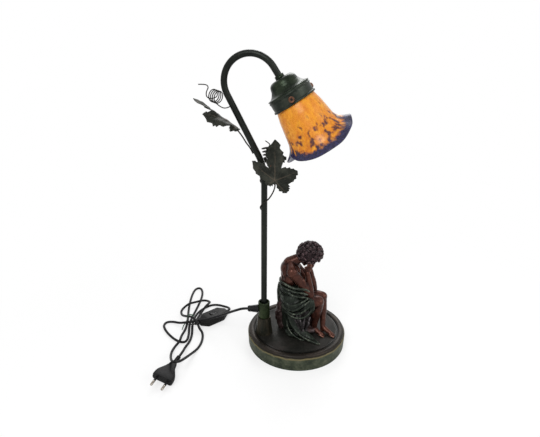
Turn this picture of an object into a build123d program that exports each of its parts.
from build123d import *
import os
from math import ceil, cos, pi, radians, sin, sqrt, tan

os.makedirs("parts", exist_ok=True)

# Figural table lamp, in millimetres. +Z is up, the origin is the centre of the base's
# underside, and the stem stands on the -X side. A crook tube carries a tilted art glass
# shade over a seated figure. The table that the lamp stands on is the plane z = 0.

# Base
base_radius = 85.0
rim_height = 25.0
rim_flare = 1.0
rim_wall = 4.0
felt_thickness = 1.5
felt_margin = 1.0
ledge_width = 12.0
ledge_thickness = 4.0
plate_level = 27.0
plate_thickness = 6.0
moulding_width = 10.2
moulding_height = 4.4
moulding_margin = 0.8
groove_width = 1.6
groove_depth = 1.0
plate_fit = 0.3
weight_radius = 66.0
weight_thickness = 9.0
base_screw_radius = 1.5
base_screw_head_radius = 3.0
base_screw_head = 2.2
base_screw_count = 3

# Stem foot
stem_x = -59.0
pedestal_foot_width = 29.0
pedestal_top_width = 22.7
pedestal_height = 31.7
pedestal_sides = 8
collar_radius = 10.0
collar_height = 30.3
collar_wall = 2.6
collar_floor = 4.0
gland_turn = 168.6
gland_rise = 15.3
gland_radius = 7.0
gland_length = 18.0
gland_spigot_radius = 4.6
nipple_radius = 3.85
nipple_bore = 2.6
thread_fit = 0.1
nipple_grip = 6.0
foot_nut_width = 13.0
foot_nut_height = 5.0
foot_washer_radius = 10.0
washer_thickness = 1.6

# Crook tube
tube_radius = 5.0
tube_bore = 4.1
tube_sides = 12
crook_turn = -24.0
kink_level = 308.4
kink_radius = 85.0
kink_angle = 27.8
lean_length = 100.0
arch_radius = 40.5
shade_tilt = 33.75
nose_length = 18.0
flex_bend = 7.0
flex_slot = 12.0

# Shade holder, measured along the shade's axis
neck_ring_radius = 8.0
neck_ring_length = 5.0
dome_wall = 1.2
dome_top_radius = 10.5
dome_shoulder_radius = 20.8
dome_waist_radius = 23.4
dome_lip_radius = 33.3
dome_height = 21.6
gallery_radius = 32.5
gallery_wall = 1.1
gallery_height = 18.6
gallery_rib = 1.0
gallery_bead = 1.3
screw_count = 3
screw_turn = 80.0
screw_station = 10.8
screw_radius = 2.0
screw_head_radius = 4.4
screw_head = 3.6
screw_socket = 3.0
screw_standoff = 1.6
screw_fit = 0.12
holder_nut_width = 12.0
holder_nut_height = 4.0
holder_radius = 13.0
holder_length = 38.0
socket_radius = 7.3
socket_depth = 25.0
contact_radius = 4.5
contact_thickness = 1.2

# Bulb
cap_radius = 6.9
cap_length = 24.0
cap_collar = 1.4
globe_radius = 22.5
globe_neck_radius = 9.5
globe_drop = 21.0
bulb_fit = 0.3

# Glass shade. The ruffled rim is given by angle, radius and reach below the gallery's top:
# each of the two petals starts at a pulled out corner and ends at a fold.
glass_wall = 3.0
glass_gap = 1.0
glass_lip_radius = 30.8
glass_lip = 4.6
glass_recess_radius = 28.6
glass_recess = 6.4
glass_waist_radius = 31.6
glass_waist = 20.0
glass_body_radius = 36.4
glass_body = 46.0
glass_flare_radius = 38.6
glass_flare = 58.0
glass_sides = 36
rim_ruffle = (
    (-20, 46, 76),
    (0, 59, 77),
    (20, 63, 86),
    (50, 59, 94),
    (90, 53, 95),
    (130, 49, 89),
    (160, 46, 79),
    (182, 60, 88),
    (200, 62, 92),
    (230, 57, 95),
    (270, 52, 95),
    (310, 49, 88),
)

# Vine leaves: angle and length of each lobe, then of each notch, from the stalk's joint
leaf_sheet = 1.0
leaf_bend = 90.0
leaf_teeth = 3
tooth_depth = 1.8
vein_height = 0.7
vein_width = 2.6
front_lobes = ((-54, 28.6), (22, 37.4), (92, 65.5), (142, 45.1), (219, 17.3))
front_notches = ((-85, 4.0), (-17, 21.0), (62, 24.4), (109, 23.0), (186, 15.0))
back_lobes = ((-50, 16.0), (20, 26.0), (90, 40.0), (150, 14.0), (215, 9.0))
back_notches = ((-90, 3.0), (-14, 11.0), (55, 15.0), (122, 9.0), (183, 6.0))
upper_lobes = ((8, 25.0), (58, 50.0), (90, 80.0), (120, 56.0), (172, 25.0))
upper_notches = ((-90, 2.0), (34, 20.0), (76, 34.0), (105, 34.0), (146, 20.0))
upper_roll = 27.0

# Vine wires
stalk_radius = 1.1
tendril_radius = 0.8
tendril_sides = 4
wire_sides = 6
solder_gap = 0.1
wrap_pitch = 44.0
upper_coil_radius = 9.0
upper_coil_pitch = 4.0
upper_coil_turns = 4
lower_coil_radius = 8.5
lower_coil_pitch = 5.0
lower_coil_turns = 4

# Figure, in its own frame: +X is where it faces, and it sits over the base's centre
figure_turn = -11.4
head_x = 17.0
head_z = 177.0
head_radius = 23.5
limb_sides = 6
body_sides = 10
figure_bolt_radius = 3.0
bolt_head_radius = 5.0
bolt_head = 3.0
bolt_reach = 12.0

# Cord, switch and plug
cord_radius = 2.2
cord_sides = 6
cord_start = 9.0
cord_end = 5.0
switch_place = (-141.3, 88.3)
switch_turn = 28.3
switch_length = 62.0
switch_width = 25.0
switch_height = 17.0
switch_shoulder = 34.0
switch_end_width = 10.0
switch_end_height = 9.2
switch_room = (32.0, 19.0, 7.0)
switch_room_level = 6.0
switch_screw_x = 22.0
switch_screw_radius = 1.25
switch_screw_head = 2.3
switch_screw_seat = 4.0
switch_screw_depth = 3.0
rocker_length = 14.0
rocker_width = 9.0
rocker_gap = 0.4
rocker_lean = 1.5
rocker_travel = 14.0
rocker_fit = 0.05
rocker_pin_radius = 1.0
rocker_pin_level = 12.0
switch_pin_length = 15.0
plug_neck = (-208.8, -23.7, 12.0)
plug_turn = 241.0
plug_dip = 0.012
plug_roll = 15.0
plug_run = 13.0
plug_relief = 20.0
plug_relief_radius = 3.8
plug_ribs = 5
plug_length = 58.0
plug_width = 35.3
plug_depth = 13.7
plug_spacing = 18.6
plug_root = 7.0
plug_core_radius = 1.7
sleeve_length = 10.0
plug_pin_radius = 2.0
plug_pin_length = 19.0
tie_place = (-183.0, 83.8)
tie_wall = 0.5
tie_width = 2.5
tie_tail_level = 2.4
tie_strands = ((-7.8, 3.2, 3.0), (8.2, 3.3, 3.0), (-1.0, 17.7, 4.2))

# The cord's route, from the gland to the switch and from the switch to the plug. It is
# folded into loops that a wire tie gathers, and lies on the table.
lead_route = (
    (-105, 16, 66), (-115.5, 30.5, 53.5), (-126.5, 45, 40), (-139.5, 57.5, 28.5),
    (-153, 65.5, 20), (-166.5, 70.5, 16.5), (-178.5, 75.5, 11.5), (-192, 79, 9),
    (-205, 85.5, 4.5), (-217, 95.5, 2.4), (-229, 96.5, 2.4), (-235, 87, 2.4),
    (-232.5, 72.5, 2.4), (-225, 54.5, 2.4), (-215.5, 39, 2.4), (-206.5, 29.5, 2.4),
    (-198, 27, 2.4), (-192.5, 34.5, 2.4), (-189.5, 50.5, 2.4), (-188, 70.5, 3), (-185, 88.5, 3),
    (-180, 105.5, 2.4), (-172, 126.5, 2.4), (-163.5, 150.5, 2.4), (-156, 176.5, 2.4),
    (-154, 195.5, 2.4), (-156.5, 208.5, 2.4), (-163.5, 211, 2.4), (-171, 202, 2.4),
    (-177.5, 180.5, 2.4), (-183, 153, 2.4), (-186.5, 127.5, 2.4), (-188.5, 105.5, 2.6),
    (-190.5, 85.5, 3.2), (-194, 67.5, 4), (-198.5, 51, 7), (-203, 38, 9.5), (-206.5, 24.5, 7.5),
    (-215.5, 16.5, 3.5), (-222, 0, 4.5), (-223, -29.5, 15.5), (-220, -53, 26), (-209, -57, 27.5),
    (-198.5, -40, 20.5), (-189, -15.5, 8), (-177.5, 2.5, 2.6), (-169.5, 17.5, 2.4),
    (-165, 35.5, 2.4), (-165, 51.5, 2.8), (-170, 56.5, 8), (-173.5, 67, 18), (-181, 79.5, 19.5),
    (-188, 90, 14.5), (-195.5, 101.5, 8.5), (-200.5, 115, 3), (-201, 129.5, 2.4),
    (-194, 139.5, 4), (-184, 143, 9), (-172, 145, 9.5), (-160, 149.5, 9), (-151, 153.5, 6),
    (-144.5, 151.5, 4.5), (-142.5, 144, 6.5), (-146, 135.5, 9.5), (-152.5, 127, 9),
    (-160, 117, 5), (-166.5, 107, 2.8), (-171.5, 96, 2.6), (-174, 85, 3), (-176, 78, 4.5),
    (-176.5, 73, 7.5),
)
tail_route = (
    (-106.5, 112.5, 7), (-109, 122, 4.5), (-116.5, 130.5, 2.6), (-127, 138, 2.4),
    (-139, 140, 2.4), (-152, 133.5, 2.4), (-164.5, 122.5, 2.4), (-173.5, 108.5, 2.4),
    (-178.5, 92, 2.8), (-182, 75.5, 3), (-183, 58.5, 2.6), (-185, 41.5, 2.4), (-190, 25, 2.8),
    (-197, 10, 5.5),
)

node_gap = 0.15
small_sides = 20
screw_sides = 12
large_sides = 32
full_cut = 400.0

# Levels and places that follow from the sizes above
rim_foot = felt_thickness
plate_seat = rim_height
plate_bottom = plate_level - plate_thickness
ledge_bottom = rim_height - ledge_thickness
weight_bottom = plate_bottom - weight_thickness
collar_level = plate_level + pedestal_height
tube_foot = collar_level + collar_floor + node_gap
gland_level = collar_level + gland_rise
flex_hole = cord_radius + node_gap
dome_top = nose_length
gallery_top = dome_top + dome_height
glass_top = gallery_top + gallery_wall + glass_gap
screw_level = gallery_top + screw_station
holder_top = gallery_top + gallery_wall + holder_nut_height
socket_floor = holder_top + holder_length - socket_depth
cap_level = socket_floor + contact_thickness + node_gap
holder_mouth = holder_top + holder_length


def save(shape, node):
    export_step(shape, f"parts/{node}.step")


def turned(*points):
    """A solid of revolution about Z from a closed outline of (radius, height)."""
    return revolve(Plane.XZ * make_face(Polyline(*points, close=True)), Axis.Z)


def skin(loops):
    """A closed ring of flat facets through equal loops of points."""
    faces = []
    for before, after in zip(loops, loops[1:] + loops[:1]):
        for k in range(len(before)):
            j = (k + 1) % len(before)
            for corners in ((before[k], before[j], after[k]), (before[j], after[j], after[k])):
                sides = [(a - b).length for a, b in zip(corners, corners[1:] + corners[:1])]
                if min(sides) > 1e-6:
                    faces.append(Face(Wire.make_polygon(corners, close=True)))
    return Solid(Shell(faces))


def wheel(points, sides=None):
    """A faceted turning about Z from a closed outline of (radius, height)."""
    loops = []
    for turn in around(sides or small_sides):
        side = (cos(radians(turn)), sin(radians(turn)))
        loops.append([Vector(r * side[0], r * side[1], h) for r, h in points])
    return skin(loops)


def rod(radius, low, high, sides=None):
    face = RegularPolygon(radius, sides or small_sides)
    return Pos(0, 0, low) * extrude(face, high - low)


def bore(radius, sides=None):
    return rod(radius, -full_cut / 2, full_cut / 2, sides)


def ring(inner, outer, low, high, sides=None):
    body = rod(outer, low, high, sides)
    return body - bore(inner, sides) if inner else body


def hexagon(width, low, high, hole):
    return rod(width / sqrt(3), low, high, 6) - bore(hole)


def around(count, start=0.0):
    return [start + 360 * k / count for k in range(count)]


# The crook lies in one upright plane through the stem. Its local axes are outward, up and
# towards the front of the lamp.
crook_heading = radians(crook_turn)
crook_out = Vector(cos(crook_heading), sin(crook_heading), 0)
crook_front = Vector(sin(crook_heading), -cos(crook_heading), 0)
crook_plane = Plane(origin=(stem_x, 0, 0), x_dir=crook_out, z_dir=crook_front)
stem_place = Location((stem_x, 0, 0))

kink = radians(kink_angle)
tilt = radians(shade_tilt)
kink_end = Vector(-kink_radius * (1 - cos(kink)), kink_level + kink_radius * sin(kink))
kink_middle = Vector(
    -kink_radius * (1 - cos(kink / 2)), kink_level + kink_radius * sin(kink / 2)
)
lean_end = kink_end + lean_length * Vector(-sin(kink), cos(kink))
arch_centre = lean_end + arch_radius * Vector(cos(kink), sin(kink))
arch_end = arch_centre + arch_radius * Vector(cos(tilt), sin(tilt))
arch_half = (pi + kink + tilt) / 2
arch_middle = arch_centre + arch_radius * Vector(cos(arch_half), sin(arch_half))
shade_down = Vector(sin(tilt), -cos(tilt))
shade_out = Vector(cos(tilt), sin(tilt))


def flat(point):
    return (point.X, point.Y)


def on_crook(x, y, front=0.0):
    return crook_plane.from_local_coords((x, y, front))


shade_axis = on_crook(*flat(shade_down)) - on_crook(0, 0)
shade_side = on_crook(*flat(shade_out)) - on_crook(0, 0)
shade_place = Plane(
    origin=on_crook(arch_end.X, arch_end.Y), x_dir=shade_side, z_dir=shade_axis
).location


# ---------------------------------------------------------------- base


def felt_pad():
    pad = Cylinder(base_radius - felt_margin, felt_thickness)
    return Pos(0, 0, felt_thickness / 2) * pad


def base_plinth():
    ledge_radius = base_radius - ledge_width
    shell = turned(
        (base_radius - rim_wall, rim_foot),
        (base_radius, rim_foot),
        (base_radius + rim_flare, rim_height - 2),
        (base_radius, rim_height),
        (ledge_radius, rim_height),
        (ledge_radius, ledge_bottom),
        (base_radius - rim_wall, ledge_bottom),
    )
    for turn in around(base_screw_count, 90):
        shell -= Rot(0, 0, turn) * Pos(screw_circle, 0, 0) * bore(
            base_screw_radius + node_gap, screw_sides
        )
    return shell


screw_circle = base_radius - (ledge_width + rim_wall) / 2


def base_plate():
    outer = base_radius - moulding_margin
    inner = outer - moulding_width
    edge = plate_seat + 0.8
    crest = plate_seat + moulding_height
    spigot = base_radius - ledge_width - plate_fit
    plate = turned(
        (0, plate_bottom),
        (spigot, plate_bottom),
        (spigot, plate_seat),
        (outer, plate_seat),
        (outer, edge),
        (outer - 0.28 * moulding_width, crest - 0.5),
        (outer - 0.5 * moulding_width, crest),
        (outer - 0.72 * moulding_width, crest - 0.5),
        (inner, edge),
        (inner, plate_level - groove_depth),
        (inner - groove_width, plate_level - groove_depth),
        (inner - groove_width, plate_level),
        (0, plate_level),
    )
    plate -= stem_place * bore(nipple_radius + thread_fit)
    plate -= bore(figure_bolt_radius + node_gap)
    for turn in around(base_screw_count, 90):
        plate -= (
            Rot(0, 0, turn)
            * Pos(screw_circle, 0, 0)
            * rod(base_screw_radius + node_gap, 0, plate_level + 0.4, screw_sides)
        )
    return plate


def base_weight():
    weight = rod(weight_radius, weight_bottom, plate_bottom, large_sides)
    weight -= stem_place * bore(nipple_radius + thread_fit)
    return weight - bore(figure_bolt_radius + node_gap)


def base_screws():
    shank = rod(base_screw_radius, ledge_bottom, plate_level, screw_sides)
    head = rod(
        base_screw_head_radius, ledge_bottom - base_screw_head, ledge_bottom, screw_sides
    )
    slot = Pos(0, 0, ledge_bottom - base_screw_head) * Box(
        2 * base_screw_head_radius, 1, base_screw_head
    )
    screw = Pos(screw_circle, 0, 0) * (shank + head - slot)
    return Compound(children=[Rot(0, 0, t) * screw for t in around(base_screw_count, 90)])


# ---------------------------------------------------------------- stem foot


def stem_pedestal():
    def eight_sided(width, level):
        flat = RegularPolygon(width / 2 / cos(pi / pedestal_sides), pedestal_sides)
        turn = 180 / pedestal_sides
        return Pos(0, 0, level) * Rot(0, 0, turn) * flat

    body = loft(
        [
            eight_sided(pedestal_foot_width, plate_level),
            eight_sided(pedestal_top_width, collar_level),
        ],
        ruled=True,
    )
    return stem_place * (body - bore(nipple_radius + thread_fit))


gland_direction = Vector(cos(radians(gland_turn)), sin(radians(gland_turn)), 0)
gland_plane = Plane(
    origin=(stem_x, 0, gland_level),
    x_dir=gland_direction.cross(Vector(0, 0, 1)),
    z_dir=gland_direction,
)
gland_mouth = collar_radius + node_gap + gland_length


def stem_collar():
    top = collar_level + collar_height
    lip = collar_wall / 2
    cup = wheel(
        [
            (nipple_radius + thread_fit, collar_level),
            (collar_radius, collar_level),
            (collar_radius, top - lip),
            (collar_radius - lip, top),
            (collar_radius - 2 * lip, top - lip),
            (collar_radius - collar_wall, collar_level + collar_floor),
            (nipple_radius + thread_fit, collar_level + collar_floor),
        ]
    )
    side_hole = rod(gland_spigot_radius + node_gap, 0, 2 * collar_radius, screw_sides)
    return stem_place * cup - gland_plane.location * side_hole


def cord_gland():
    flange = wheel(
        [
            (flex_hole, collar_radius + node_gap),
            (gland_radius, collar_radius + node_gap),
            (gland_radius, gland_mouth - 1),
            (gland_radius - 1, gland_mouth),
            (flex_hole, gland_mouth),
        ],
        screw_sides,
    )
    spigot_end = collar_radius - collar_wall
    spigot = ring(flex_hole, gland_spigot_radius, spigot_end, collar_radius + 1, screw_sides)
    body = flange + spigot
    for turn in around(2, 90):
        rib = Pos(gland_radius, 0, gland_mouth - gland_length / 2)
        body -= Rot(0, 0, turn) * rib * Box(1, 3, gland_length / 2)
    return gland_plane.location * body


def stem_nipple():
    top = tube_foot + nipple_grip
    low = weight_bottom - washer_thickness - foot_nut_height - 1
    return stem_place * ring(nipple_bore, nipple_radius, low, top)


def stem_washer():
    low = weight_bottom - washer_thickness
    washer = ring(nipple_radius + thread_fit, foot_washer_radius, low, weight_bottom)
    return stem_place * washer


def stem_nut():
    top = weight_bottom - washer_thickness
    bore = nipple_radius + thread_fit
    return stem_place * hexagon(foot_nut_width, top - foot_nut_height, top, bore)


# ---------------------------------------------------------------- crook tube


def crook_path(start):
    foot = (0, start)
    bend = (0, kink_level)
    kink_a, kink_b = flat(kink_middle), flat(kink_end)
    lean = flat(lean_end)
    arch_a, arch_b = flat(arch_middle), flat(arch_end)
    nose = flat(arch_end + nose_length * shade_down)
    curve = (
        Line(foot, bend)
        + ThreePointArc(bend, kink_a, kink_b)
        + Line(kink_b, lean)
        + ThreePointArc(lean, arch_a, arch_b)
        + Line(arch_b, nose)
    )
    return crook_plane.location * curve


def stem_tube():
    path = crook_path(tube_foot)
    section = Plane(origin=path @ 0, z_dir=path % 0) * (
        RegularPolygon(tube_radius, tube_sides) - RegularPolygon(tube_bore, tube_sides)
    )
    tube = sweep(section, path=path)
    slot_middle = gland_level + flex_slot / 4
    slot = Pos(0, 0, slot_middle) * Rot(0, 0, gland_turn) * Pos(tube_radius, 0, 0) * Box(
        2 * tube_radius, 2 * cord_radius + 1, flex_slot
    )
    return tube - stem_place * slot


def inner_flex():
    mouth = gland_plane.from_local_coords((0, 0, gland_mouth))
    corner = Vector(stem_x, 0, gland_level)
    rise_start = gland_level + flex_bend
    side = corner + flex_bend * gland_direction
    centre = side + Vector(0, 0, flex_bend)
    middle = centre - flex_bend * (gland_direction + Vector(0, 0, 1)).normalized()
    entry = Line(mouth, side) + ThreePointArc(side, middle, Vector(stem_x, 0, rise_start))
    path = entry + crook_path(rise_start)
    section = Plane(origin=mouth, z_dir=-gland_direction) * RegularPolygon(
        cord_radius, cord_sides
    )
    return sweep(section, path=path)


# ---------------------------------------------------------------- shade holder


def neck_ring():
    low = dome_top - neck_ring_length
    body = wheel(
        [
            (tube_radius + thread_fit, low),
            (neck_ring_radius - 1, low),
            (neck_ring_radius, low + 1.2),
            (neck_ring_radius, dome_top - 1.2),
            (neck_ring_radius - 1, dome_top),
            (tube_radius + thread_fit, dome_top),
        ]
    )
    return shade_place * body


def dome_curve(inset):
    """The bell's outline from its hole to its lip, moved inwards by a wall."""
    span = dome_shoulder_radius - dome_top_radius
    skirt = dome_lip_radius - dome_waist_radius
    rows = (
        (dome_top_radius, 0, 0, 1),
        (dome_top_radius + 0.45 * span, 0.05, 0.4, 0.9),
        (dome_top_radius + 0.8 * span, 0.14, 0.7, 0.7),
        (dome_shoulder_radius, 0.3, 1, 0.3),
        (dome_waist_radius, 0.6, 1, 0),
        (dome_waist_radius + 0.16 * skirt, 0.76, 1, 0.2),
        (dome_waist_radius + 0.48 * skirt, 0.9, 0.7, 0.7),
        (dome_lip_radius, 1 - dome_wall / dome_height, 1, 0.2),
    )
    outline = [(nipple_radius + thread_fit, dome_top + inset)]
    for radius, share, across, along in rows:
        height = dome_top + share * dome_height + along * inset
        outline.append((radius - across * inset, height))
    return outline


def canopy_dome():
    outer, inner = dome_curve(0), dome_curve(dome_wall)
    lip = [(dome_lip_radius, gallery_top), (dome_lip_radius - 1, gallery_top)]
    return shade_place * wheel(outer + lip + inner[::-1], large_sides)


def shade_gallery():
    top, low = gallery_top, gallery_top + gallery_height
    wall = gallery_radius - gallery_wall
    body = wheel(
        [
            (nipple_radius + thread_fit, top),
            (gallery_radius, top),
            (gallery_radius, top + 2.5),
            (gallery_radius + gallery_rib, top + 3.2),
            (gallery_radius, top + 3.9),
            (gallery_radius, low - 3),
            (gallery_radius + gallery_bead, low - 2),
            (gallery_radius + gallery_bead, low - 0.8),
            (gallery_radius, low),
            (wall, low),
            (wall, top + gallery_wall),
            (nipple_radius + thread_fit, top + gallery_wall),
        ],
        large_sides,
    )
    for turn in around(screw_count, screw_turn):
        hole = Pos(0, 0, screw_level) * Rot(0, 0, turn) * Pos(gallery_radius, 0, 0)
        body -= hole * Rot(0, 90, 0) * rod(screw_radius + screw_fit, -4, 4, screw_sides)
    return shade_place * body


def shade_screw(turn):
    tip = glass_recess_radius + bulb_fit
    seat = gallery_radius + screw_standoff
    shank = rod(screw_radius, tip, seat + 1, screw_sides)
    head = rod(screw_head_radius, seat, seat + screw_head)
    head = chamfer(head.edges().group_by(Axis.Z)[-1], 0.6)
    socket = Pos(0, 0, seat + screw_head) * Box(screw_socket, screw_socket, screw_head)
    screw = Rot(0, 90, 0) * (shank + head - socket)
    return shade_place * Pos(0, 0, screw_level) * Rot(0, 0, turn) * screw


def holder_nipple():
    low = dome_top - 2 * nipple_grip
    body = ring(nipple_bore, nipple_radius, low, holder_top + nipple_grip)
    return shade_place * body


def holder_nut():
    low = gallery_top + gallery_wall
    bore = nipple_radius + thread_fit
    return shade_place * hexagon(holder_nut_width, low, low + holder_nut_height, bore)


def holder_body():
    shoulder = holder_top + 7
    waist = holder_top + 12
    skirt = holder_radius - 1.5
    body = wheel(
        [
            (nipple_radius + thread_fit, holder_top),
            (nipple_radius + 3, holder_top),
            (holder_radius, shoulder),
            (holder_radius, waist),
            (skirt, waist + 1),
            (skirt, holder_mouth),
            (socket_radius, holder_mouth),
            (socket_radius, socket_floor),
            (nipple_bore, socket_floor),
            (nipple_bore, holder_top + nipple_grip + node_gap),
            (nipple_radius + thread_fit, holder_top + nipple_grip + node_gap),
        ]
    )
    return shade_place * body


def holder_contact():
    body = rod(contact_radius, socket_floor, socket_floor + contact_thickness)
    return shade_place * body


def bulb_cap():
    thread = []
    steps = 4
    pitch = (cap_length - 6) / steps
    for step in range(steps):
        level = cap_level + 5 + step * pitch
        thread += [(cap_radius - 0.8, level), (cap_radius, level + pitch / 2)]
    body = wheel(
        [
            (0, cap_level),
            (2.4, cap_level),
            (3, cap_level + 1.5),
            (cap_radius - 1.2, cap_level + 4),
            *thread,
            (cap_radius - 0.8, cap_level + cap_length - cap_collar),
            (0, cap_level + cap_length - cap_collar),
        ]
    )
    collar = Cylinder(cap_radius - 0.6, cap_collar)
    return shade_place * (body + Pos(0, 0, cap_level + cap_length - cap_collar / 2) * collar)


def bulb_glass():
    start = cap_level + cap_length
    centre = start + globe_drop
    outline = [(0, start), (globe_neck_radius - 2, start)]
    for turn in (148, 130, 110, 90, 70, 50, 30, 12):
        side = radians(turn)
        outline.append((globe_radius * sin(side), centre - globe_radius * cos(pi - side)))
    body = wheel(outline + [(0, centre + globe_radius)])
    return shade_place * body


# ---------------------------------------------------------------- glass shade


def wall_section(rim_radius, reach):
    """The shade's wall, as a closed outline from its lip to its ruffled rim."""
    lip_end = glass_top + glass_lip
    recess_end = lip_end + 1 + glass_recess
    outer = [
        (glass_lip_radius, glass_top),
        (glass_lip_radius, lip_end),
        (glass_recess_radius, lip_end + 1),
        (glass_recess_radius, recess_end),
        (glass_waist_radius, gallery_top + glass_waist),
        (0.5 * (glass_waist_radius + glass_body_radius), gallery_top + glass_body - 13),
        (glass_body_radius, gallery_top + glass_body),
        (glass_flare_radius, gallery_top + glass_flare),
    ]
    for share, spread in ((0.42, 0.2), (0.74, 0.5), (1, 1)):
        radius = glass_flare_radius + spread * (rim_radius - glass_flare_radius)
        outer.append((radius, gallery_top + glass_flare + share * (reach - glass_flare)))
    inner = [(glass_recess_radius - glass_wall, glass_top)]
    inner.append((glass_recess_radius - glass_wall, recess_end))
    for before, here, after in zip(outer[3:], outer[4:], outer[5:] + outer[-1:]):
        along = Vector(after[0] - before[0], after[1] - before[1]).normalized()
        inner.append((here[0] - along.Y * glass_wall, here[1] + along.X * glass_wall))
    return outer + inner[::-1]


def rim_at(angle):
    """The rim's radius and reach between two rows of the ruffle."""
    rows = [*rim_ruffle, (rim_ruffle[0][0] + 360, *rim_ruffle[0][1:])]
    for low, high in zip(rows, rows[1:]):
        if low[0] <= angle <= high[0]:
            share = (angle - low[0]) / (high[0] - low[0])
            blend = (share + share * share * (3 - 2 * share)) / 2
            return [a + (b - a) * blend for a, b in zip(low[1:], high[1:])]


def glass_shade():
    loops = []
    for turn in around(glass_sides, rim_ruffle[0][0]):
        side = (cos(radians(turn)), sin(radians(turn)))
        section = wall_section(*rim_at(turn))
        loops.append([Vector(r * side[0], r * side[1], h) for r, h in section])
    return shade_place * skin(loops)


# ---------------------------------------------------------------- vine


def polar(angle, length):
    return Vector(length * cos(radians(angle)), length * sin(radians(angle)))


def toothed_edge(start, end):
    """Saw teeth along one edge of a lobe, which bulges outwards a little."""
    along = end - start
    out = Vector(along.Y, -along.X).normalized()
    points = []
    for k in range(1, leaf_teeth + 1):
        share = k / (leaf_teeth + 1)
        bulge = 0.16 * along.length * sin(pi * share)
        root = start + along * (share - 0.04) + out * (bulge - tooth_depth * 0.4)
        peak = start + along * (share + 0.04) + out * (bulge + tooth_depth * 0.6)
        points += [root, peak]
    return points


def bent_sheet(inner, outer, roll):
    """A thin layer rolled about Y, with its top at the origin."""
    layer = Cylinder(roll + outer, full_cut) - Cylinder(roll + inner, full_cut)
    return Pos(0, 0, -roll) * Rot(90, 0, 0) * layer


def leaf(lobes, notches, roll):
    """A five-lobed toothed leaf of bent sheet with raised veins, its tip along +Y."""
    outline = []
    ribs = Sketch()
    count = len(lobes)
    slab = min(roll - 1, 40.0)
    for k in range(count):
        tip = polar(*lobes[k])
        before = polar(*notches[k])
        after = polar(*notches[(k + 1) % count])
        outline += [before, *toothed_edge(before, tip), tip, *toothed_edge(tip, after)]
        side = Vector(-tip.Y, tip.X).normalized() * vein_width / 2
        end = 0.9 * tip
        ribs += make_face(
            Polyline(-side, end - 0.15 * side, end + 0.15 * side, side, close=True)
        )
    drop = Pos(0, 0, vein_height - slab)
    blade = drop * extrude(make_face(Polyline(*outline, close=True)), slab)
    comb = drop * extrude(ribs, slab)
    sheet = bent_sheet(-leaf_sheet, 0, roll)
    veins = bent_sheet(-leaf_sheet / 2, vein_height, roll)
    return (blade & sheet) + (comb & veins)


def leaf_place(x, y, front, tip_x, tip_y, tip_front, face):
    """A leaf's place on the crook plane: joint, tip, and the way its face looks."""
    joint = on_crook(x, y, front)
    tip = on_crook(tip_x, tip_y, tip_front)
    look = on_crook(*face) - on_crook(0, 0)
    along = (tip - joint).normalized()
    across = along.cross(look).normalized()
    return Plane(origin=joint, x_dir=across, z_dir=across.cross(along)).location


def bend(start, heading, end):
    chord = end - start
    if heading.cross(chord).length < 1e-4 * chord.length:
        return Edge.make_line(start, end)
    return Edge.make_tangent_arc(start, heading, end)


def biarcs(points, headings):
    """A wire of tangent arcs, two between each pair of points with given headings."""
    edges = []
    for k in range(len(points) - 1):
        start, end = points[k], points[k + 1]
        leave, arrive = headings[k].normalized(), headings[k + 1].normalized()
        chord = end - start
        lean = chord.dot(leave + arrive)
        spread = 2 * (1 - leave.dot(arrive))
        reach = chord.dot(chord) / (2 * lean)
        if spread > 1e-6:
            reach = (sqrt(lean**2 + spread * chord.dot(chord)) - lean) / spread
        middle = (start + leave * reach + end - arrive * reach) / 2
        edges.append(bend(start, leave, middle))
        edges.append(bend(middle, edges[-1] % 1, end))
    return Wire(edges)


def least_gap(wire, thickness):
    """The least gap between two turns of a wire, measured on points along it."""
    count = 240
    points = [wire @ (k / count) for k in range(count + 1)]
    skip = ceil(4 * thickness / (wire.length / count))
    gaps = [
        (points[j] - points[i]).length - thickness
        for i in range(count + 1)
        for j in range(i + skip, count + 1)
    ]
    return min(gaps)


def wire_rod(route, radius, sides=wire_sides):
    """A faceted wire along a route, with its first face square to the start."""
    section = Plane(origin=route @ 0, z_dir=route % 0) * RegularPolygon(radius, sides)
    return sweep(section, path=route, clean=False)


def coil(centre, axis, first, radius, pitch, turns, hand=1):
    """Points and headings of a coil, two to a turn, from the side named first."""
    across = axis.cross(first).normalized() * hand
    first = across.cross(axis).normalized() * hand
    points, headings = [], []
    for k in range(2 * turns + 1):
        turn = pi * k
        rise = pitch * k / 2 - pitch * turns / 2
        side = first * cos(turn) + across * sin(turn)
        points.append(centre + side * radius + axis * rise)
        slope = axis * pitch / (2 * pi * radius)
        headings.append(across * cos(turn) - first * sin(turn) + slope)
    return points, headings


def crook_way(x, y, front=0.0):
    return on_crook(x, y, front) - on_crook(0, 0)


def tendril_upper():
    side = Vector(-cos(kink), -sin(kink))
    root = kink_end + 83 * Vector(-sin(kink), cos(kink))
    root += side * (tube_radius + solder_gap)
    points, headings = coil(
        on_crook(-74.5, 433.0),
        crook_way(-0.86, 0.12, -0.5).normalized(),
        crook_way(0, -1),
        upper_coil_radius,
        upper_coil_pitch,
        upper_coil_turns,
    )
    tail = [on_crook(-88, 437, 5), on_crook(-85.5, 447, 4), on_crook(-100, 450, 3)]
    tail_headings = [crook_way(-0.1, 1), crook_way(0.3, 1), crook_way(-1, 0)]
    route = biarcs(
        [on_crook(root.X, root.Y)] + points + tail,
        [crook_way(side.X, side.Y)] + headings + tail_headings,
    )
    print("tendril_upper least gap", round(least_gap(route, 2 * tendril_radius), 2))
    return wire_rod(route, tendril_radius, tendril_sides)


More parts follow.
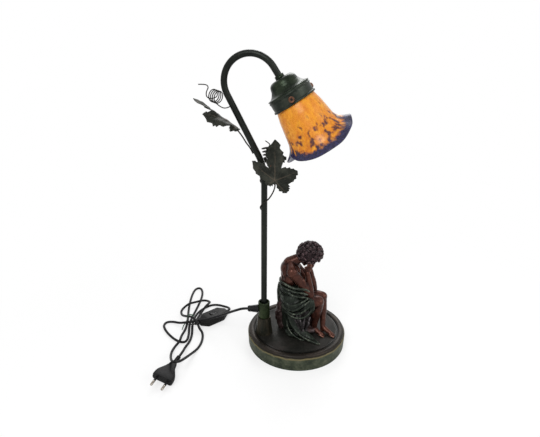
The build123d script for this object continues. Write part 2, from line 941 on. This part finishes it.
def tendril_lower():
    points, headings = coil(
        on_crook(4.0, 350.0, -10),
        crook_way(-0.2, 1).normalized(),
        crook_way(1, 0),
        lower_coil_radius,
        lower_coil_pitch,
        lower_coil_turns,
    )
    start = [on_crook(12, 333, -1.75)]
    tail = [on_crook(-1, 368, -10)]
    route = biarcs(
        start + points + tail,
        [crook_way(0, 0.5, -1)] + headings + [crook_way(-1, 0.6)],
    )
    print("tendril_lower least gap", round(least_gap(route, 2 * tendril_radius), 2))
    return wire_rod(route, tendril_radius, tendril_sides)


def stalk(level, points, headings):
    """A stalk wound half round the tube, from its back to its front, and then free."""
    wind = tube_radius + solder_gap + stalk_radius
    slope = wrap_pitch / (2 * pi * wind)
    route, ways = [], []
    for k in range(3):
        turn = radians(270 - 90 * k)
        rise = level + wrap_pitch * k / 4
        route.append(on_crook(wind * cos(turn), rise, wind * sin(turn)))
        ways.append(crook_way(sin(turn), slope, -cos(turn)))
    route += [on_crook(*p) for p in points]
    ways += [crook_way(*h) for h in headings]
    return wire_rod(biarcs(route, ways), stalk_radius)


stalk_depth = leaf_sheet + stalk_radius + node_gap


def vine_lower():
    front = front_joint[2] - stalk_depth
    points = [(11, 284, front - 5), (18, 297, front - 4.6), (*front_joint[:2], front)]
    return stalk(250.0, points, [(1, 1, 0.1), (0.2, 1, 0.1), (0, 1, 0.2)])


def vine_middle():
    front = back_joint[2] - stalk_depth
    points = [(6.5, 320, 2.5), (11, 328, front - 2), (*back_joint[:2], front)]
    return stalk(295.0, points, [(1, 1, -0.7), (0.2, 1, -0.1), (0, 1, 0.15)])


def vine_upper():
    side = Vector(-cos(kink), -sin(kink)) * (tube_radius + solder_gap + stalk_radius)
    along = Vector(-sin(kink), cos(kink))
    first, second = kink_end + 5 * along + side, kink_end + 16 * along + side
    points = [(first.X, first.Y), (second.X, second.Y), (-31, 371), upper_joint]
    ways = [(along.X, along.Y), (along.X, along.Y), (-0.6, 0.8), (-0.75, 0.66)]
    route = biarcs([on_crook(*p) for p in points], [crook_way(*w) for w in ways])
    return wire_rod(route, stalk_radius)


front_joint = (19.2, 313.3, 11.0)
back_joint = (12.0, 337.0, 3.0)
upper_joint = (-43.0, 386.0)


def leaf_front():
    tip = (16.8, 378.8, 11 + 0.2 * 65)
    return leaf_place(*front_joint, *tip, (0, -0.2, 1)) * leaf(front_lobes, front_notches, leaf_bend)


def leaf_back():
    tip = (6.5, 376, 9)
    return leaf_place(*back_joint, *tip, (-0.1, -0.15, 1)) * leaf(back_lobes, back_notches, leaf_bend)


def leaf_upper():
    face = Vector(0.51, 0.86)
    joint = Vector(*upper_joint) + stalk_depth * face
    tip = joint + Vector(-0.86, 0.51) * 80
    place = leaf_place(joint.X, joint.Y, 0, tip.X, tip.Y, 0, (face.X, face.Y, 0.1))
    return place * leaf(upper_lobes, upper_notches, upper_roll)


# ---------------------------------------------------------------- figure

figure_place = Rot(0, 0, figure_turn)


def limb(start, end, start_radius, end_radius):
    """A tapered faceted limb."""
    a, b = Vector(*start), Vector(*end)
    way = (b - a).normalized()
    near = Plane(origin=a - way * start_radius * 0.5, z_dir=way)
    far = Plane(origin=b + way * end_radius * 0.5, z_dir=way)
    ends = [
        near * RegularPolygon(start_radius, limb_sides),
        far * RegularPolygon(end_radius, limb_sides),
    ]
    return loft(ends, ruled=True)


def slices(*rows):
    """A faceted body through level outlines: x, y, height, half length, half width."""
    sections = []
    for x, y, z, rx, ry in rows:
        corners = [radians(turn) for turn in around(body_sides, 180 / body_sides)]
        points = [(x + rx * cos(c), y + ry * sin(c)) for c in corners]
        sections.append(Pos(0, 0, z) * make_face(Polyline(*points, close=True)))
    return loft(sections, ruled=True)


def figure():
    seat = slices(
        (-2, -4, plate_level, 28, 24),
        (-4, -2, 52, 26, 21),
        (-4, 0, 84, 23, 22),
        (2, 0, 96, 18, 20),
    )
    hem = slices(
        (12, -26, plate_level, 26, 22),
        (4, -18, 50, 20, 16),
        (0, -12, 78, 16, 12),
    )
    trunk = slices(
        (-4, 0, 84, 21, 20),
        (-10, 0, 104, 19, 18),
        (-12, 0, 130, 18, 21),
        (-9, 0, 150, 15, 24),
        (-3, 0, 168, 8, 14),
    )
    shoulder, elbow, hand = (-6, -20, 152), (22, -15, 97), (29, -5, 152)
    far_shoulder, far_elbow, far_hand = (-4, 20, 152), (33, 12, 98), (31, 6, 152)
    hip, knee, ankle = (2, -12, 88), (46, -15, 84), (30, -8, 36)
    far_hip, far_knee, far_ankle = (2, 12, 88), (50, 4, 84), (46, -8, 38)
    parts = [
        seat,
        hem,
        trunk,
        slices(
            (head_x - 4, 0, head_z - head_radius, 10, 9),
            (head_x, 0, head_z - 0.6 * head_radius, 0.85 * head_radius, 0.8 * head_radius),
            (head_x, 0, head_z, head_radius, 0.97 * head_radius),
            (head_x - 1, 0, head_z + 0.6 * head_radius, 0.85 * head_radius, 0.8 * head_radius),
            (head_x - 2, 0, head_z + head_radius, 9, 9),
        ),
        limb((-2, 0, 160), (head_x, 0, head_z), 9, 8),
        limb(shoulder, elbow, 8, 6.5),
        limb(elbow, hand, 6.5, 5),
        limb(far_shoulder, far_elbow, 8, 6.5),
        limb(far_elbow, far_hand, 6.5, 5),
        limb(hip, knee, 13, 9.5),
        limb(knee, ankle, 9.5, 6),
        limb(far_hip, far_knee, 13, 9.5),
        limb(far_knee, far_ankle, 9.5, 5.5),
        limb(far_ankle, (62, -26, plate_level + 4.8), 5.6, 3.8),
        limb(ankle, (46, -22, plate_level + 4.8), 6.1, 3.8),
    ]
    body = parts[0].fuse(*parts[1:])
    hole = rod(figure_bolt_radius + thread_fit, 0, plate_level + bolt_reach)
    return figure_place * body - hole


def figure_bolt():
    shank = rod(figure_bolt_radius, weight_bottom, plate_level + bolt_reach - 1)
    head = rod(bolt_head_radius, weight_bottom - bolt_head, weight_bottom)
    slot = Pos(0, 0, weight_bottom - bolt_head) * Box(2 * bolt_head_radius, 1.2, 2)
    return shank + head - slot


# ---------------------------------------------------------------- cord, switch and plug

switch_heading = radians(switch_turn)
switch_way = Vector(cos(switch_heading), sin(switch_heading), 0)
switch_middle = Vector(*switch_place, switch_height / 2)
switch_frame = Location((*switch_place, 0), (0, 0, switch_turn))
plug_heading, plug_lean = radians(plug_turn), radians(plug_roll)
plug_way = Vector(cos(plug_heading), sin(plug_heading), -plug_dip).normalized()
plug_side = plug_way.cross(Vector(0, 0, 1)).normalized()
plug_broad = plug_side * cos(plug_lean) + plug_side.cross(plug_way) * sin(plug_lean)
plug_frame = Plane(origin=Vector(*plug_neck), x_dir=plug_broad, z_dir=plug_way).location


def corner_radii(points):
    radii = []
    for a, b, c in zip(points, points[1:], points[2:]):
        turn = (b - a).get_angle(c - b)
        run = min((b - a).length, (c - b).length)
        radii.append(0.45 * run / tan(radians(turn / 2)))
    return radii


def free_cord(points, node):
    radii = corner_radii(points)
    route = FilletPolyline(*points, radius=radii)
    section = Plane(origin=route @ 0, z_dir=route % 0) * RegularPolygon(
        cord_radius, cord_sides
    )
    cord = sweep(section, path=route)
    share = cord.volume / (section.area * route.length)
    print(node, "length", round(route.length), "volume share", round(share, 3))
    print(node, "radii", [round(r, 1) for r in radii])
    return cord


def cord_lead():
    mouth = gland_plane.from_local_coords((0, 0, gland_mouth))
    entry = switch_middle - switch_way * switch_length / 2
    middle = [Vector(*p) for p in lead_route]
    start = [mouth, mouth + gland_direction * cord_start]
    return free_cord(start + middle + [entry - switch_way * cord_end, entry], "cord_lead")


def cord_tail():
    leave = switch_middle + switch_way * switch_length / 2
    middle = [Vector(*p) for p in tail_route]
    neck = Vector(*plug_neck)
    start = [leave, leave + switch_way * (cord_end + 1)]
    return free_cord(start + middle + [neck - plug_way * plug_run, neck], "cord_tail")


def cord_tie():
    """A wire tie round the gathered strands, with one free end."""
    inner = [Pos(*strand[:2]) * Circle(strand[2]) for strand in tie_strands]
    outer = [Pos(*strand[:2]) * Circle(strand[2] + tie_wall) for strand in tie_strands]
    band = extrude(make_hull([edge for disc in outer for edge in disc.edges()]), tie_width)
    band -= extrude(make_hull([edge for disc in inner for edge in disc.edges()]), tie_width)
    loop = Pos(0, tie_width / 2, 0) * Rot(90, 0, 0) * band
    left = tie_strands[0][0] - tie_strands[0][2] - tie_wall / 2
    tail = Polyline(
        (left, 1), (left, -1), (left - 2, -9), (left - 2.6, -22), (left - 4, -22),
        (left - 3.6, -8), (left - 1.2, 1), close=True,
    )
    strip = Pos(0, 0, tie_tail_level) * extrude(make_face(tail), tie_wall)
    return Location((*tie_place, 0), (0, 0, figure_turn)) * (loop + strip)


def switch_shape():
    half, shoulder = switch_length / 2, switch_shoulder / 2
    width, end_width = switch_width / 2, switch_end_width / 2
    slope = (switch_height - switch_end_height) / 2
    outline = Polyline(
        (-half, -end_width), (-shoulder, -width), (shoulder, -width), (half, -end_width),
        (half, end_width), (shoulder, width), (-shoulder, width), (-half, end_width),
        close=True,
    )
    side = Polyline(
        (-half, slope), (-shoulder, 0), (shoulder, 0), (half, slope),
        (half, switch_height - slope), (shoulder, switch_height),
        (-shoulder, switch_height), (-half, switch_height - slope),
        close=True,
    )
    plan = extrude(make_face(outline), switch_height)
    profile = Rot(90, 0, 0) * extrude(make_face(side), switch_width, both=True)
    room = Pos(0, 0, switch_room_level) * Box(*switch_room)
    return plan & profile, room


def switch_lower():
    body, room = switch_shape()
    keep = Pos(0, 0, switch_height / 4 - node_gap / 4) * Box(
        2 * switch_length, 2 * switch_width, switch_height / 2 - node_gap / 2
    )
    lower = (body & keep) - room
    for x in (-switch_screw_x, switch_screw_x):
        lower -= Pos(x, 0, 0) * bore(switch_screw_radius + node_gap, screw_sides)
        recess = rod(switch_screw_head + node_gap, 0, switch_screw_seat, screw_sides)
        lower -= Pos(x, 0, 0) * recess
    return switch_frame * lower


def switch_upper():
    body, room = switch_shape()
    keep = Pos(0, 0, 3 * switch_height / 4 + node_gap / 4) * Box(
        2 * switch_length, 2 * switch_width, switch_height / 2 - node_gap / 2
    )
    window = Pos(0, 0, switch_height) * Box(
        rocker_length + 2 * rocker_gap, rocker_width + 2 * rocker_gap, switch_height
    )
    upper = (body & keep) - room - window
    pin_bore = Rot(90, 0, 0) * Cylinder(rocker_pin_radius, switch_pin_length)
    upper -= Pos(0, 0, rocker_pin_level) * pin_bore
    for x in (-switch_screw_x, switch_screw_x):
        top = switch_height / 2 + switch_screw_depth
        upper -= Pos(x, 0, 0) * rod(switch_screw_radius, 0, top, screw_sides)
    return switch_frame * upper


def switch_screws():
    tip = switch_height / 2 + switch_screw_depth - node_gap
    screws = []
    for x in (-switch_screw_x, switch_screw_x):
        shank = rod(switch_screw_radius, switch_screw_seat - 1, tip, screw_sides)
        head = rod(
            switch_screw_head, switch_screw_seat - 1.6, switch_screw_seat, screw_sides
        )
        slot = Pos(0, 0, switch_screw_seat - 1.6) * Box(2 * switch_screw_head, 0.8, 1)
        screws.append(switch_frame * Pos(x, 0, 0) * (shank + head - slot))
    return Compound(children=screws)


def switch_pin():
    pin = Rot(90, 0, 0) * Cylinder(rocker_pin_radius, switch_pin_length)
    return switch_frame * Pos(0, 0, rocker_pin_level) * pin


def switch_rocker():
    """A two-way rocker, drawn with its far end pressed in, as it rests."""
    half = rocker_length / 2
    rise = switch_height - rocker_pin_level
    dip = (half - 0.6) * tan(radians(rocker_travel))
    side = Polyline(
        (-half + 0.6, -1.6), (-half + 0.6, 1), (-half + rocker_lean, rise + dip), (0, rise),
        (half - 0.6, rise + 0.2), (half - 0.6, -1.6), (0, -2.2),
        close=True,
    )
    body = Rot(90, 0, 0) * extrude(make_face(side), rocker_width / 2, both=True)
    body -= Rot(90, 0, 0) * Cylinder(rocker_pin_radius + rocker_fit, full_cut)
    return switch_frame * Pos(0, 0, rocker_pin_level) * body


def plug_slice(level, half, deep, corner):
    """A rectangle with cut corners, across the plug."""
    quarter = [(half, deep - corner), (half - corner, deep)]
    upper = quarter + [(-x, y) for x, y in quarter[::-1]]
    points = upper + [(-x, -y) for x, y in upper]
    return Pos(0, 0, level) * make_face(Polyline(*points, close=True))


def plug_body():
    outline = [(0, 0), (plug_relief_radius - 0.8, 0)]
    for k in range(plug_ribs):
        level = 1.5 + k * (plug_relief - 3) / plug_ribs
        outline += [(plug_relief_radius, level), (plug_relief_radius, level + 1.6)]
        outline.append((plug_relief_radius - 0.6, level + 2.2))
    outline += [(plug_relief_radius, plug_relief + 2), (0, plug_relief + 2)]
    relief = wheel(outline, screw_sides)
    shoulder = plug_relief + 0.6 * (plug_length - plug_relief)
    half, deep = plug_width / 2, plug_depth / 2
    sections = [
        (plug_relief, 5.5, 4.7, 2),
        (shoulder, 0.86 * half, deep - 0.4, 3),
        (shoulder + 8, half, deep, 4),
        (plug_length, half, deep, 4),
    ]
    body = loft([plug_slice(*row) for row in sections], ruled=True) + relief
    for x in (-plug_spacing / 2, plug_spacing / 2):
        root = rod(plug_core_radius, plug_length - plug_root, plug_length + 1, screw_sides)
        body -= Pos(x, 0, 0) * root
    return plug_frame * body


def plug_pins():
    """Two pins, thinner where an insulating sleeve covers them."""
    pins = []
    for x in (-plug_spacing / 2, plug_spacing / 2):
        middle = plug_length + (plug_pin_length + sleeve_length) / 2
        core = rod(plug_core_radius, plug_length - plug_root, middle, screw_sides)
        bare = Cylinder(plug_pin_radius, plug_pin_length - sleeve_length)
        bare = Pos(0, 0, middle) * chamfer(bare.edges().group_by(Axis.Z)[-1], 0.7)
        pins.append(plug_frame * Pos(x, 0, 0) * (core + bare))
    return Compound(children=pins)


def plug_sleeves():
    sleeves = []
    for x in (-plug_spacing / 2, plug_spacing / 2):
        end = plug_length + sleeve_length - 0.02
        sleeve = ring(plug_core_radius + 0.02, plug_pin_radius, plug_length, end, screw_sides)
        sleeves.append(plug_frame * Pos(x, 0, 0) * sleeve)
    return Compound(children=sleeves)


# ---------------------------------------------------------------- parts

for make in (
    felt_pad,
    base_plinth,
    base_plate,
    base_weight,
    base_screws,
    stem_pedestal,
    stem_collar,
    cord_gland,
    stem_nipple,
    stem_washer,
    stem_nut,
    stem_tube,
    inner_flex,
    neck_ring,
    canopy_dome,
    shade_gallery,
    holder_nipple,
    holder_nut,
    holder_body,
    holder_contact,
    bulb_cap,
    bulb_glass,
    glass_shade,
    leaf_front,
    leaf_back,
    leaf_upper,
    vine_lower,
    vine_middle,
    vine_upper,
    tendril_upper,
    tendril_lower,
    figure,
    figure_bolt,
    cord_lead,
    cord_tail,
    cord_tie,
    switch_lower,
    switch_upper,
    switch_screws,
    switch_pin,
    switch_rocker,
    plug_body,
    plug_pins,
    plug_sleeves,
):
    save(make(), make.__name__)

for number, turn in enumerate(around(screw_count, screw_turn), 1):
    save(shade_screw(turn), f"shade_screw_{number}")
